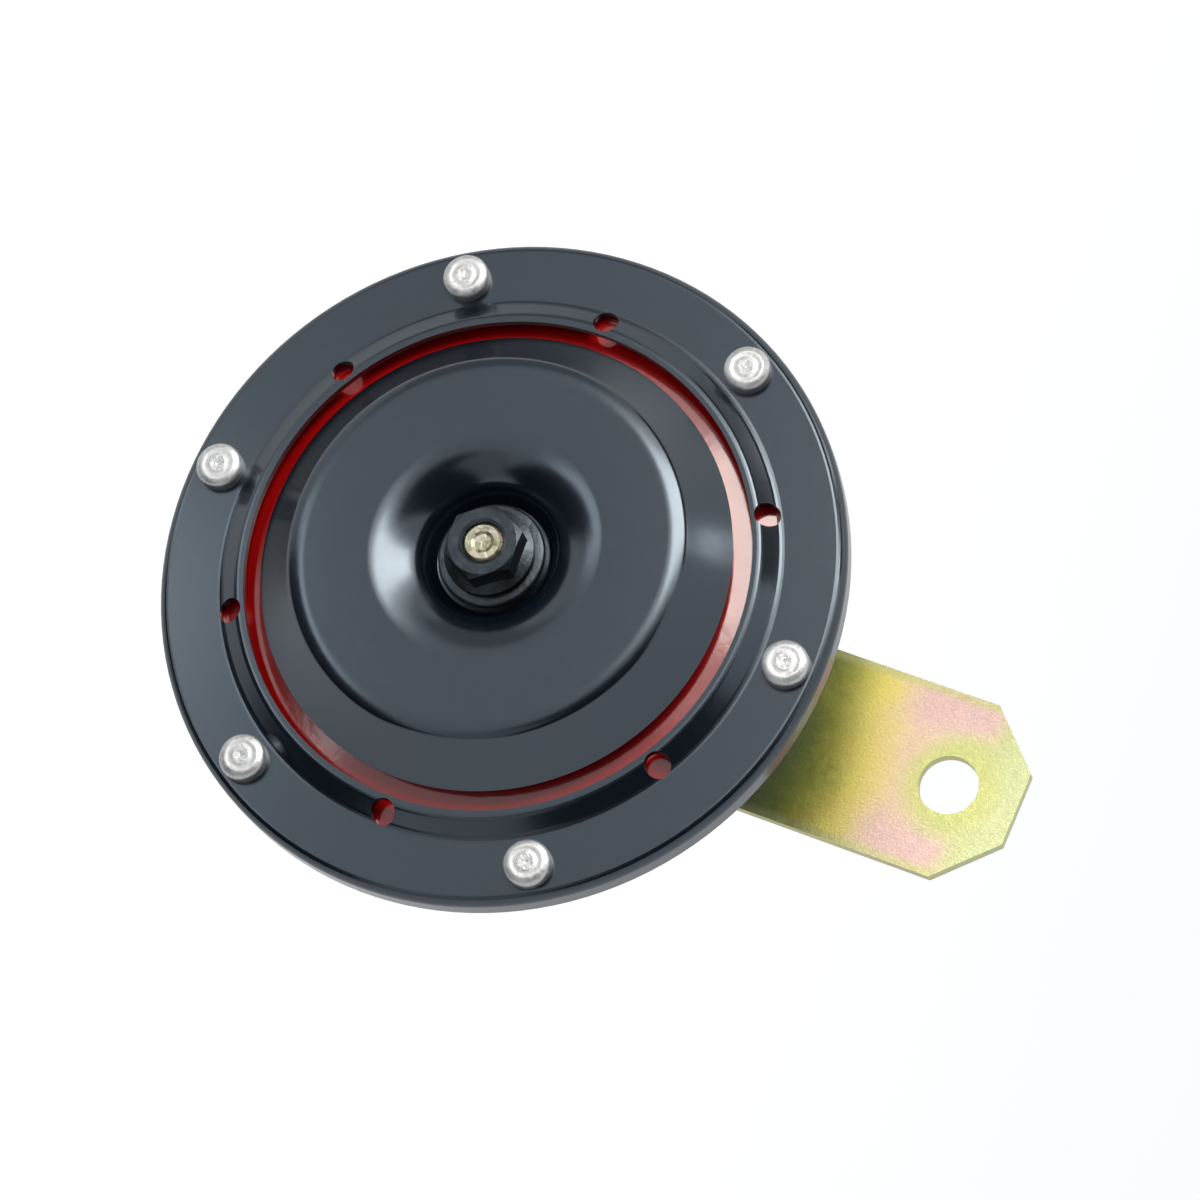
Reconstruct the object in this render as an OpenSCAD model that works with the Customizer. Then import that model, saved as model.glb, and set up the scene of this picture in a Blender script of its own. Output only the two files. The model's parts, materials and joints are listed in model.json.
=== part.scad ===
// Electric disc horn: a stamped front ring clamps a steel diaphragm to a deep drawn housing.
// A tone disc on the armature stud is driven by a pot magnet with a contact breaker beside it.
// Every piece is drawn about the horn axis with the sound side towards +Z and the bracket
// towards +Y. place() then stands the horn up and puts the bracket's bolt hole at the origin.

/* [Front ring] */
// Outer diameter of the front ring
ring_d = 100; // [96:0.5:106]
// Thickness of the ring sheet
ring_t = 1.2; // [1:0.1:1.4]
// Outside radius where the flat land turns down into the skirt
ring_corner_r = 1.5; // [1.5:0.1:2.2]
// Width of the ring from its edge to the sound opening inside the lip
ring_w = 13.1; // [12:0.1:14]
// Height of the lip above the flat land
lip_rise = 1.6; // [1.2:0.1:1.8]
// Slope of the band between land and lip, in degrees
band_angle = 31; // [26:1:38]
// Width of the lip's flat top
lip_flat = 0.65; // [0.4:0.05:1]
// Outside radius of the bend between lip and band
lip_bend_r = 1.6; // [1.5:0.1:1.9]
// Radius of the fillet where the band meets the land
band_foot_r = 2; // [1.4:0.1:2.2]
// Length by which the skirt covers the housing flange
skirt_over = 0.2; // [0:0.1:1]
// Diameter of the small holes between the rivets
sound_hole_d = 3.6; // [3:0.1:4]
// Distance of the small holes from the ring's edge
sound_hole_inset = 10.8; // [10.4:0.1:11.2]

/* [Rivets] */
// Number of rivets round the ring
rivet_count = 6; // [4:1:8]
// Distance of the rivets from the ring's edge
rivet_inset = 5; // [4.7:0.1:5.4]
// Shank diameter
rivet_d = 4; // [3:0.1:4.4]
// Diameter of the front heads
rivet_head_d = 6.8; // [6:0.1:6.8]
// Height of the front heads
rivet_head_h = 2.1; // [1.6:0.1:2.6]
// Edge radius of the front heads
rivet_edge_r = 1; // [0.6:0.1:1.2]
// Diameter of the closed heads behind the flange
rivet_tail_d = 5.2; // [4.8:0.1:5.4]
// Height of the closed heads
rivet_tail_h = 1.5; // [1:0.1:2]
// Gap between the closed heads and the bend of the housing's step
tail_gap = 0.1; // [0:0.1:0.6]
// Clearance of the shanks in their holes
rivet_clear = 0.05; // [0:0.05:0.3]

/* [Diaphragm] */
// Thickness of the diaphragm
diaphragm_t = 0.5; // [0.3:0.05:0.8]
// Thickness of each gasket
gasket_t = 0.5; // [0.3:0.1:1]
// Width of the gaskets
gasket_w = 7.2; // [6:0.1:7.6]
// Gap between the clamped stack and the skirt of the ring
rim_clear = 0.2; // [0.1:0.05:0.4]
// Flat stretch of the diaphragm between the gaskets and its rise
cone_gap = 1.2; // [0.6:0.1:2]
// Width of the diaphragm's cone
cone_w = 7.8; // [6:0.1:9]
// Slope of the diaphragm's cone, in degrees
cone_angle = 9; // [7:0.5:11]
// Flat stretch between the cone and the ring groove
groove_gap = 2; // [1:0.5:3]
// Width of the ring groove
groove_w = 7; // [5:0.5:8]
// Depth of the ring groove
groove_depth = 1.2; // [0.6:0.1:1.4]

/* [Tone disc] */
// Gap between the tone disc and the ring's lip
tone_gap = 2.7; // [2:0.1:4]
// Thickness of the tone disc
tone_t = 1.2; // [1:0.1:1.4]
// Height of the raised ring of the tone disc above its seat
bowl_depth = 5.9; // [5:0.1:7]
// Diameter of the flat seat in the bowl
seat_d = 17.2; // [16.6:0.2:19]
// Steepest slope of the bowl wall, at its foot, in degrees
bowl_angle = 64; // [58:1:66]
// Radius of the hollow at the foot of the bowl
bowl_foot_r = 1; // [0.6:0.1:1.6]
// Slope at which the bowl wall runs into its rim, in degrees
bowl_rim_angle = 9; // [6:1:14]
// Radius of the rim of the bowl
bowl_rim_r = 3; // [2:0.1:4]
// Radius of the raised ring's soft outer shoulder
shoulder_r = 6.5; // [5:0.1:8]
// Slope at which the shoulder runs into the bend above the flare, in degrees
shoulder_angle = 20; // [14:1:24]
// Outside radius of the bend above the flare
flare_bend_r = 1.6; // [1.5:0.1:2.4]
// Steepest slope of the flare, below its bend, in degrees
flare_angle = 60; // [54:1:64]
// Slope left at the tone disc's outer edge, in degrees
edge_angle = 33; // [28:1:38]
// Height of the outer edge above the seat
edge_rise = -0.4; // [-0.8:0.1:0.2]
// Thickness of the spacer between diaphragm and tone disc
spacer_t = 1.6; // [1:0.1:2]
// Diameter of the spacer
spacer_d = 17; // [14:0.5:20]
// Diameter of the domed washer under the nut
washer_d = 15.5; // [14:0.1:16.4]
// Edge thickness of the domed washer
washer_edge_t = 1.1; // [0.8:0.1:1.6]
// Rise of the domed washer's crown over its edge
washer_dome = 0.8; // [0.4:0.1:1.2]

/* [Stud and flange nut] */
// Diameter of the armature stud
stud_d = 6; // [5:0.1:6.4]
// Clearance of the stud in the pieces that it passes through
stud_clear = 0.1; // [0.05:0.05:0.3]
// Width across flats of the flange nut
nut_af = 10; // [9.6:0.1:11]
// Height of the flange nut
nut_h = 5.3; // [5:0.1:7]
// Diameter of the nut's flange
nut_flange_d = 12.9; // [12.8:0.1:14]
// Edge thickness of the nut's flange
nut_flange_t = 1.2; // [0.8:0.1:1.6]
// Turn of the flange nut about the stud, in degrees
nut_turn = 5.3; // [0:0.1:60]
// Distance from the nut's top down to the end of the stud
stud_short = 0.2; // [0:0.1:1]

/* [Armature] */
// Thickness of the armature
armature_t = 4.5; // [3:0.1:6]
// Height of the boss that carries the diaphragm
armature_boss_h = 1; // [0.6:0.1:1.5]
// Air gap between armature and magnet at rest
air_gap = 0.8; // [0.7:0.05:1.2]
// Width of the tongue that works the breaker
tongue_w = 8; // [6:0.5:9]
// Thickness of the tongue
tongue_t = 2; // [1.5:0.1:3]
// Length of the pusher below the tongue
pusher_len = 3.2; // [2.5:0.1:4]
// Diameter of the pusher
pusher_d = 4.4; // [3.6:0.1:5]
// Gap between pusher and moving contact arm at rest
pusher_gap = 0.6; // [0.6:0.05:1]

/* [Magnet] */
// Diameter of the magnet core
core_d = 16; // [14:0.5:17]
// Wall thickness of the magnet pot
pot_wall = 2.4; // [2:0.1:3]
// Floor thickness of the magnet pot
pot_floor = 2.5; // [2:0.1:4]
// Width of the notches for the coil's leads
notch_w = 3; // [2:0.2:5]
// Depth of the notches
notch_depth = 6; // [5:0.5:8]
// Wall thickness of the coil bobbin
bobbin_t = 1.2; // [0.8:0.1:1.6]
// Clearance of the bobbin in the pot and on the core
bobbin_clear = 0.2; // [0.1:0.05:0.4]
// Distance from the pole face down to the bobbin
bobbin_drop = 2; // [1.5:0.1:3]
// Depth of the winding below the bobbin's edge
winding_drop = 0.6; // [0.3:0.1:1.5]
// Diameter of the coil's and breaker's leads
lead_d = 1.2; // [1:0.1:1.4]

/* [Housing] */
// Thickness of the housing sheet
housing_t = 1.2; // [1:0.1:1.4]
// Depth from the flange face to the outside of the floor
housing_depth = 29.8; // [28.5:0.1:32]
// Depth at which the shallow step starts to turn in
step_depth = 4.5; // [4:0.1:6]
// Outside radius of the shallow step
step_r = 3; // [2.4:0.1:3.6]
// Slope of the step's shoulder from upright, in degrees
step_angle = 60; // [50:1:70]
// Width of the step between its wall and the wall of the deep cup
step_w = 5.4; // [4.4:0.1:6]
// Outside radius of the cup's floor corner
cup_corner_r = 4.5; // [3:0.1:4.8]
// Inside radius of the other bends
bend_r = 0.9; // [0.6:0.1:1.2]

/* [Contact breaker] */
// Distance from the cup's wall to the middle of the breaker
breaker_inset = 10.5; // [10.2:0.1:11]
// Gap between the breaker and the magnet pot
breaker_gap = 4; // [3.6:0.1:5]
// Width of the contact arms
arm_w = 7; // [6:0.1:7.4]
// Thickness of the moving contact arm
moving_arm_t = 0.4; // [0.3:0.05:0.6]
// Thickness of the fixed contact arm
fixed_arm_t = 0.8; // [0.6:0.05:1]
// Thickness of the upper and lower insulators
insulator_t = 0.9; // [0.6:0.1:1.2]
// Diameter of the contacts
contact_d = 3.6; // [3:0.1:4]
// Thickness of each contact
contact_t = 0.8; // [0.6:0.05:1]
// Thickness of the clamp plate over the stack
clamp_t = 1; // [0.8:0.1:1.4]
// Thickness of the breaker's bracket
shelf_t = 1.6; // [1.2:0.1:2]
// Diameter of the small rivets in the breaker
small_rivet_d = 2; // [1.6:0.1:2.2]
// Diameter of the rivets that hold the breaker to the floor
foot_rivet_d = 3; // [2.4:0.1:3.2]

/* [Adjusting screw] */
// Diameter of the adjusting screw
adjuster_d = 4; // [3:0.1:4.4]
// Length of the screw outside the lock nut
adjuster_proud = 2.5; // [2:0.1:4]
// Width across flats of the lock nut
adjuster_af = 7; // [7:0.1:8]
// Height of the lock nut
adjuster_nut_h = 2.4; // [2:0.1:3.2]
// Thickness of the sealing washer
seal_t = 0.8; // [0.5:0.1:1.2]
// Diameter of the threaded bush inside the floor
bush_d = 7; // [6.4:0.1:7.4]
// Height of the threaded bush
bush_h = 4; // [3:0.1:5]
// Length of the insulating tip
tip_h = 2; // [1.5:0.1:3]

/* [Terminals] */
// Distance from the magnet pot to the terminals
terminal_inset = 3; // [3:0.1:4]
// Distance between the two terminals
terminal_pitch = 12; // [11:0.5:13]
// Length of the terminal plate
plate_l = 27; // [25:0.5:28]
// Width of the terminal plate
plate_w = 12; // [11:0.5:12]
// Thickness of the terminal plate
plate_t = 2.4; // [1.6:0.1:3]
// Thickness of the plate inside the floor
inner_plate_t = 1.2; // [0.8:0.1:2]
// Width of a blade
blade_w = 6.3; // [4.8:0.1:6.4]
// Thickness of a blade
blade_t = 0.8; // [0.5:0.1:1]
// Length of a blade beyond the plate
blade_l = 9; // [8:0.1:12]
// Diameter of the terminal rivets
terminal_rivet_d = 3.2; // [2.6:0.1:3.6]

/* [Bracket] */
// Width of the bracket strip
bracket_w = 27.4; // [25:0.1:29]
// Thickness of the bracket strip
bracket_t = 2; // [1.5:0.1:3]
// Distance from the horn axis to the bolt hole
hole_y = 64.7; // [60:0.1:80]
// Diameter of the bolt hole
hole_d = 8.8; // [8:0.1:10.5]
// Distance from the bolt hole to the end of the strip
bracket_end = 10.6; // [9:0.1:14]
// Corner cut at the bolt end
bracket_cut = 8.1; // [4:0.1:10]
// Gap between the lower end of the strip and the terminal plate
plate_gap = 2; // [1:0.1:4]
// Corner cut at the lower end
tail_cut = 5; // [3:0.1:8]
// Diameter of the rear stud
rear_stud_d = 8; // [7:0.1:8.4]
// Clearance of the rear stud in the floor, bracket and washers
rear_clear = 0.2; // [0.1:0.05:0.5]
// Width across flats of the rear nut
rear_nut_af = 13; // [13:0.1:15]
// Height of the rear nut
rear_nut_h = 6.5; // [5:0.1:8]
// Diameter of the plain washer
rear_washer_d = 16; // [15:0.1:18]
// Thickness of the plain washer
rear_washer_t = 1.6; // [1:0.1:2]
// Outer diameter of the spring washer
spring_washer_d = 14; // [12.8:0.1:14.8]
// Thickness of the spring washer
spring_washer_t = 2; // [1.4:0.1:2.4]
// Length of the rear stud beyond its nut
rear_stud_proud = 2.5; // [1:0.1:6]

/* [Hidden] */
$fn = 96;
eps = 0.01;
arc_steps = 8;
small_arc_steps = 3;
nut_face_share = 0.98;

// Radii
ring_r = ring_d / 2;
lip_r = ring_r - ring_w;
rivet_at_r = ring_r - rivet_inset;
sound_hole_at_r = ring_r - sound_hole_inset;
rim_r = ring_r - ring_t - rim_clear;
gasket_r = ring_r - ring_corner_r;
gasket_inner_r = gasket_r - gasket_w;
cone_outer_r = gasket_inner_r - cone_gap;
cone_inner_r = cone_outer_r - cone_w;
groove_outer_r = cone_inner_r - groove_gap;
groove_inner_r = groove_outer_r - groove_w;
step_out_r = rivet_at_r - rivet_tail_d / 2 - tail_gap - bend_r;
cup_r = step_out_r - step_w;
breaker_x = cup_r - breaker_inset;
tone_r = lip_r - tone_gap;
stud_r = stud_d / 2;
stud_hole_r = stud_r + stud_clear;
core_r = core_d / 2;
pot_r = breaker_x - arm_w / 2 - breaker_gap;
terminal_y = pot_r + terminal_inset;
bracket_tail = terminal_y - plate_w / 2 - plate_gap;
rear_r = rear_stud_d / 2;
rear_hole_r = rear_r + rear_clear;
seat_r = seat_d / 2;
rivet_hole_r = rivet_d / 2 + rivet_clear;
stud_head_r = stud_r + 1.5;
stud_head_h = 1.5;
bush_neck_r = bush_d / 2 - 0.8;
winding_r = pot_r - pot_wall - bobbin_clear - winding_drop;

// Heights along the horn axis, from the front face of the housing flange
z_diaphragm = gasket_t;
z_diaphragm_top = z_diaphragm + diaphragm_t;
z_land_under = z_diaphragm_top + gasket_t;
z_land = z_land_under + ring_t;
z_lip = z_land + lip_rise;
z_skirt = -(housing_t + skirt_over);
z_centre_top = z_diaphragm_top + cone_w * tan(cone_angle);
z_seat = z_centre_top + spacer_t + tone_t;
z_plateau = z_seat + bowl_depth;
z_edge = z_seat + edge_rise;
z_washer_top = z_seat + washer_edge_t + washer_dome;
z_nut_top = z_washer_top + nut_h;
z_stud_tip = z_nut_top - stud_short;
z_boss_top = z_centre_top - diaphragm_t;
z_armature_top = z_boss_top - armature_boss_h;
z_armature = z_armature_top - armature_t;
z_pole = z_armature - air_gap;
z_floor_out = -housing_depth;
z_floor = z_floor_out + housing_t;
z_pot_floor = z_floor + pot_floor;
z_bobbin_top = z_pole - bobbin_drop;
z_pusher = z_armature - pusher_len;
z_moving_arm = z_pusher - pusher_gap - moving_arm_t;
z_fixed_arm = z_moving_arm - 2 * contact_t - fixed_arm_t;
z_shelf_top = z_fixed_arm - insulator_t;
z_bracket_back = z_floor_out - bracket_t;
z_rear_washer = z_bracket_back - rear_washer_t;
z_spring_washer = z_rear_washer - spring_washer_t;
z_rear_nut = z_spring_washer - rear_nut_h;
z_rear_tip = z_rear_nut - rear_stud_proud;
z_plate = z_floor_out - plate_t;
z_blade = z_plate - blade_t;
z_adjuster_nut = z_floor_out - seal_t - adjuster_nut_h;
z_adjuster_end = z_adjuster_nut - adjuster_proud;

// Breaker layout along Y, measured from the horn axis
stack_y = 6;
stack_l = 10;
pusher_y = -8;
contact_y = -3;
arm_end_y = -11.4;
tail_y = 14.4;
stack_rivet_gap = 5;
foot_rivet_y = 4;
foot_rivet_gap = 7;
foot_w = 4.6;
foot_end_y = -2.2;
arm_hole_clear = 0.8;
small_head_r = small_rivet_d * 0.9;
small_head_h = 0.7;
foot_head_r = foot_rivet_d * 0.75;
foot_head_h = 1.1;
contact_pin_d = 1.4;

// Terminal layout
spigot_d = terminal_rivet_d + 2.6;
spigot_clear = 0.1;
terminal_head_r = terminal_rivet_d * 0.95;
terminal_head_h = 1;
blade_foot_l = 8;
blade_hole_d = 1.8;
blade_tip = 1.2;

// Routes of the three leads inside the housing, in level and upright runs
notch_angles = [212, 265];
lead_bend = 1.2;
bend_lap = 6;
lead_gap = 1.6;
lead_drop = 5;
lead_out_r = pot_r + lead_gap + lead_d / 2;
lead_z = z_bobbin_top - bobbin_t - lead_d / 2 - 0.1;
lead_x = -breaker_x + arm_w / 2 - lead_d / 2 - 0.1;
lead_y = tail_y - 1;
terminal_top = z_floor + inner_plate_t + terminal_head_h;
lead_start_route = [
    lead_at(winding_r, notch_angles[1], lead_z),
    lead_at(lead_out_r, notch_angles[1], lead_z),
    lead_at(lead_out_r, notch_angles[1], terminal_top + lead_drop),
    [terminal_pitch / 2, -terminal_y, terminal_top + lead_drop],
    [terminal_pitch / 2, -terminal_y, terminal_top],
];
lead_end_route = [
    lead_at(winding_r, notch_angles[0], lead_z),
    lead_at(lead_out_r, notch_angles[0], lead_z),
    lead_at(lead_out_r, notch_angles[0], z_shelf_top - shelf_t - 2),
    [lead_x, lead_y, z_shelf_top - shelf_t - 2],
    [lead_x, lead_y, z_moving_arm],
];
breaker_lead_route = [
    [lead_x, arm_end_y + 1.2, z_fixed_arm],
    [lead_x, arm_end_y + 1.2, terminal_top + lead_drop],
    [-terminal_pitch / 2, -terminal_y, terminal_top + lead_drop],
    [-terminal_pitch / 2, -terminal_y, terminal_top],
];

// Points of an arc about c from angle a0 to a1
function arc(c, r, a0, a1, n = arc_steps) =
    [for (i = [0:n]) let (a = a0 + (a1 - a0) * i / n) c + r * [cos(a), sin(a)]];

// The same list from last to first
function backwards(p) = [for (i = [len(p) - 1:-1:0]) p[i]];

// A point at radius r and angle a about the horn axis
function lead_at(r, a, z) = [r * cos(a), r * sin(a), z];

// Stands the horn up: sound side to -Y, bracket to +Z, bolt hole at the origin
module place() {
    translate([0, z_bracket_back, -hole_y]) rotate([90, 0, 0]) children();
}

// Copies the children round the horn axis
module around(n, r, first = 90) {
    for (i = [0:n - 1]) rotate(first + i * 360 / n) translate([r, 0, 0]) children();
}

// A straight round bar between two heights
module bar(r, z0, z1) {
    translate([0, 0, z0]) cylinder(r = r, h = z1 - z0);
}

// A flat ring between two heights
module tube(r_out, r_in, z0, z1) {
    difference() {
        bar(r_out, z0, z1);
        bar(r_in, z0 - eps, z1 + eps);
    }
}

// A hexagonal prism with both or only the upper corners chamfered
module hexagon(af, z0, z1, both = true) {
    corner_r = af / sqrt(3);
    cut_r = af / 2 * nut_face_share;
    drop = (corner_r - cut_r) * tan(30);
    low = both ? drop : 0;
    low_r = both ? cut_r : corner_r;
    intersection() {
        translate([0, 0, z0]) cylinder(r = corner_r, h = z1 - z0, $fn = 6);
        rotate_extrude()
            polygon([[0, z0], [low_r, z0], [corner_r + eps, z0 + low],
                     [corner_r + eps, z1 - drop], [cut_r, z1], [0, z1]]);
    }
}

// A strip along Y with all four corners cut at 45 degrees
module cut_strip(w, y0, y1, cut0, cut1, z0, z1) {
    h = w / 2;
    translate([0, 0, z0]) linear_extrude(z1 - z0)
        polygon([[-h, y0 + cut0], [-h + cut0, y0], [h - cut0, y0], [h, y0 + cut0],
                 [h, y1 - cut1], [h - cut1, y1], [-h + cut1, y1], [-h, y1 - cut1]]);
}

// A plate of the breaker, as wide as the arms, between two places along Y
module breaker_plate(y0, y1, z0, z1, w = arm_w) {
    translate([-breaker_x - w / 2, y0, z0]) cube([w, y1 - y0, z1 - z0]);
}

// The two rivet places of the breaker's stack
module at_stack_rivets() {
    for (s = [-1, 1]) translate([-breaker_x, stack_y + s * stack_rivet_gap / 2, 0]) children();
}

// Round wire along a list of points, each run level or upright. The bends between are a hair
// thinner and reach a little way into the runs, so that each lead is one solid
module wire(route) {
    last = len(route) - 1;
    for (i = [0:last - 1]) {
        step = route[i + 1] - route[i];
        start = i == 0 ? 0 : lead_bend;
        end = i == last - 1 ? 0 : lead_bend;
        tilt = atan2(norm([step[0], step[1]]), step[2]);
        translate(route[i] + step * start / norm(step)) rotate([0, tilt, atan2(step[1], step[0])])
            cylinder(d = lead_d, h = norm(step) - start - end, $fn = 24);
    }
    for (i = [1:last - 1]) {
        back = route[i - 1] - route[i];
        ahead = route[i + 1] - route[i];
        level = abs(back[2]) < abs(ahead[2]) ? back : ahead;
        up = sign(back[2] + ahead[2]);
        translate(route[i]) rotate([90, 0, atan2(level[1], level[0])])
            translate([lead_bend, up * lead_bend, 0]) rotate((up > 0 ? 180 : 90) - bend_lap)
            rotate_extrude(angle = 90 + 2 * bend_lap, $fn = 48) translate([lead_bend, 0])
            circle(d = lead_d - 0.1, $fn = 24);
    }
}

// Stamped ring: lip, sloping band, flat land, rounded edge and skirt in one sheet
module front_ring() {
    c_bend = [lip_r + lip_flat, z_lip - lip_bend_r];
    p_band = c_bend + lip_bend_r * [sin(band_angle), cos(band_angle)];
    foot_rise = band_foot_r * (1 - cos(band_angle));
    foot_r = p_band[0] + band_foot_r * sin(band_angle)
        + (p_band[1] - z_land - foot_rise) / tan(band_angle);
    c_foot = [foot_r, z_land + band_foot_r];
    c_corner = [ring_r - ring_corner_r, z_land - ring_corner_r];
    upper = concat([[lip_r, z_lip]],
                   arc(c_bend, lip_bend_r, 90, 90 - band_angle, small_arc_steps),
                   arc(c_foot, band_foot_r, 270 - band_angle, 270, small_arc_steps),
                   arc(c_corner, ring_corner_r, 90, 0),
                   [[ring_r, z_skirt]]);
    lower = concat([[lip_r, z_lip - ring_t]],
                   arc(c_bend, lip_bend_r - ring_t, 90, 90 - band_angle, 1),
                   arc(c_foot, band_foot_r + ring_t, 270 - band_angle, 270, small_arc_steps),
                   arc(c_corner, ring_corner_r - ring_t, 90, 0, small_arc_steps),
                   [[ring_r - ring_t, z_skirt]]);
    color("#20242a") difference() {
        rotate_extrude($fn = 180) polygon(concat(upper, backwards(lower)));
        around(rivet_count, rivet_at_r) bar(rivet_hole_r, z_land_under - 1, z_land + 1);
        around(rivet_count, sound_hole_at_r, 90 + 180 / rivet_count)
            bar(sound_hole_d / 2, z_land_under - 1, z_lip + 1);
    }
}

// Flat-topped rivet with a rounded head edge, a centre dimple and a closed head behind
module rivet(i) {
    head_r = rivet_head_d / 2;
    top = z_land + rivet_head_h;
    dimple_r = rivet_head_d / 9;
    tail_z = -housing_t;
    profile = concat([[0, top - 0.15], [dimple_r, top]],
                     arc([head_r - rivet_edge_r, top - rivet_edge_r], rivet_edge_r, 90, 0),
                     [[head_r, z_land], [rivet_d / 2, z_land], [rivet_d / 2, tail_z],
                      [rivet_tail_d / 2, tail_z]],
                     arc([rivet_tail_d / 2 - 0.9, tail_z - rivet_tail_h + 0.9], 0.9, 0, -90, 4),
                     [[0, tail_z - rivet_tail_h]]);
    color("#d8dadb") rotate(90 + (i - 1) * 360 / rivet_count) translate([rivet_at_r, 0, 0])
        rotate_extrude() polygon(profile);
}

// One gasket of the clamped stack
module gasket(z) {
    color("#3a3a36") difference() {
        tube(gasket_r, gasket_inner_r, z, z + gasket_t);
        around(rivet_count, rivet_at_r) bar(rivet_hole_r, z - 1, z + gasket_t + 1);
    }
}

// Spring steel diaphragm: flat rim, shallow cone, ring groove and flat centre
module diaphragm() {
    r0 = groove_inner_r;
    r1 = groove_outer_r;
    upper = concat([[stud_hole_r, z_centre_top]],
                   [for (i = [0:16]) [r0 + (r1 - r0) * i / 16,
                                      z_centre_top - groove_depth * (1 - cos(360 * i / 16)) / 2]],
                   [[cone_inner_r, z_centre_top], [cone_outer_r, z_diaphragm_top],
                    [rim_r, z_diaphragm_top]]);
    color("#b01510") difference() {
        rotate_extrude($fn = 180)
            polygon(concat(upper, backwards([for (p = upper) p - [0, diaphragm_t]])));
        around(rivet_count, rivet_at_r) bar(rivet_hole_r, -1, z_land);
    }
}

// Deep drawn housing: flange, shallow step, deep cup and flat floor with its holes
module housing() {
    c_flange = [step_out_r + bend_r, -housing_t - bend_r];
    c_step = [step_out_r - step_r, -step_depth];
    p_step = c_step + step_r * [cos(step_angle), -sin(step_angle)];
    slope_l = (p_step[0] - cup_r - bend_r * (1 - cos(step_angle))) / sin(step_angle);
    c_cup = [cup_r + bend_r, p_step[1] - slope_l * cos(step_angle) - bend_r * sin(step_angle)];
    c_floor = [cup_r - cup_corner_r, z_floor_out + cup_corner_r];
    inside = concat([[rim_r, 0]],
                    arc(c_flange, bend_r + housing_t, 90, 180, 6),
                    arc(c_step, step_r - housing_t, 0, -step_angle, 6),
                    arc(c_cup, bend_r + housing_t, 180 - step_angle, 180, 6),
                    arc(c_floor, cup_corner_r - housing_t, 0, -90),
                    [[rear_hole_r, z_floor]]);
    outside = concat([[rim_r, -housing_t]],
                     arc(c_flange, bend_r, 90, 180, 6),
                     arc(c_step, step_r, 0, -step_angle, 6),
                     arc(c_cup, bend_r, 180 - step_angle, 180, 6),
                     arc(c_floor, cup_corner_r, 0, -90),
                     [[rear_hole_r, z_floor_out]]);
    color("#1c2026") difference() {
        rotate_extrude($fn = 180) polygon(concat(inside, backwards(outside)));
        around(rivet_count, rivet_at_r) bar(rivet_hole_r, -housing_t - 1, 1);
        for (s = [-1, 1]) {
            translate([s * terminal_pitch / 2, -terminal_y, 0])
                bar(spigot_d / 2 + spigot_clear, z_floor_out - 1, z_floor + 1);
            translate([-breaker_x, foot_rivet_y + s * foot_rivet_gap / 2, 0])
                bar(foot_rivet_d / 2, z_floor_out - 1, z_floor + 1);
        }
        translate([-breaker_x, pusher_y, 0]) bar(bush_neck_r, z_floor_out - 1, z_floor + 1);
    }
}

// Pressed tone disc: seat, bowl with a rounded wall, raised ring and a flare down to the edge
module tone_disc() {
    wall_r = (bowl_depth - bowl_foot_r * (1 - cos(bowl_angle))
              - bowl_rim_r * (1 - cos(bowl_rim_angle)))
        / (cos(bowl_rim_angle) - cos(bowl_angle));
    flare_r = (z_plateau - z_edge - shoulder_r
               + (shoulder_r - flare_bend_r) * cos(shoulder_angle)
               + flare_bend_r * cos(flare_angle))
        / (cos(edge_angle) - cos(flare_angle));
    c_foot = [seat_r, z_seat + bowl_foot_r];
    c_wall = c_foot + (bowl_foot_r + wall_r) * [sin(bowl_angle), -cos(bowl_angle)];
    c_rim = c_wall + (wall_r - bowl_rim_r) * [-sin(bowl_rim_angle), cos(bowl_rim_angle)];
    c_flare = [tone_r + flare_r * sin(edge_angle), z_edge + flare_r * cos(edge_angle)];
    c_bend = c_flare - (flare_bend_r + flare_r) * [sin(flare_angle), cos(flare_angle)];
    c_shoulder = c_bend - (shoulder_r - flare_bend_r) * [sin(shoulder_angle), cos(shoulder_angle)];
    upper = tone_profile(c_foot, c_wall, c_rim, c_shoulder, c_bend, c_flare, wall_r, flare_r, 0);
    lower = tone_profile(c_foot, c_wall, c_rim, c_shoulder, c_bend, c_flare, wall_r, flare_r,
                         tone_t);
    color("#23272d") rotate_extrude($fn = 180) polygon(concat(upper, backwards(lower)));
}

// One face of the tone disc, t below its upper face and parallel to it
function tone_profile(c_foot, c_wall, c_rim, c_shoulder, c_bend, c_flare, wall_r, flare_r, t) =
    concat([[stud_hole_r, z_seat - t]],
           arc(c_foot, bowl_foot_r + t, 270, 270 + bowl_angle),
           arc(c_wall, wall_r - t, 90 + bowl_angle, 90 + bowl_rim_angle, 12),
           arc(c_rim, bowl_rim_r - t, 90 + bowl_rim_angle, 90, 1),
           arc(c_shoulder, shoulder_r - t, 90, 90 - shoulder_angle, 4),
           arc(c_bend, flare_bend_r - t, 90 - shoulder_angle, 90 - flare_angle, 4),
           arc(c_flare, flare_r + t, 270 - flare_angle, 270 - edge_angle));

// Domed washer between tone disc and nut
module tone_disc_washer() {
    crown_r = nut_flange_d / 2 - 0.2;
    color("#2b2e30") rotate_extrude()
        polygon([[stud_hole_r, z_seat], [washer_d / 2, z_seat],
                 [washer_d / 2, z_seat + washer_edge_t], [crown_r, z_washer_top],
                 [stud_hole_r, z_washer_top]]);
}

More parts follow.
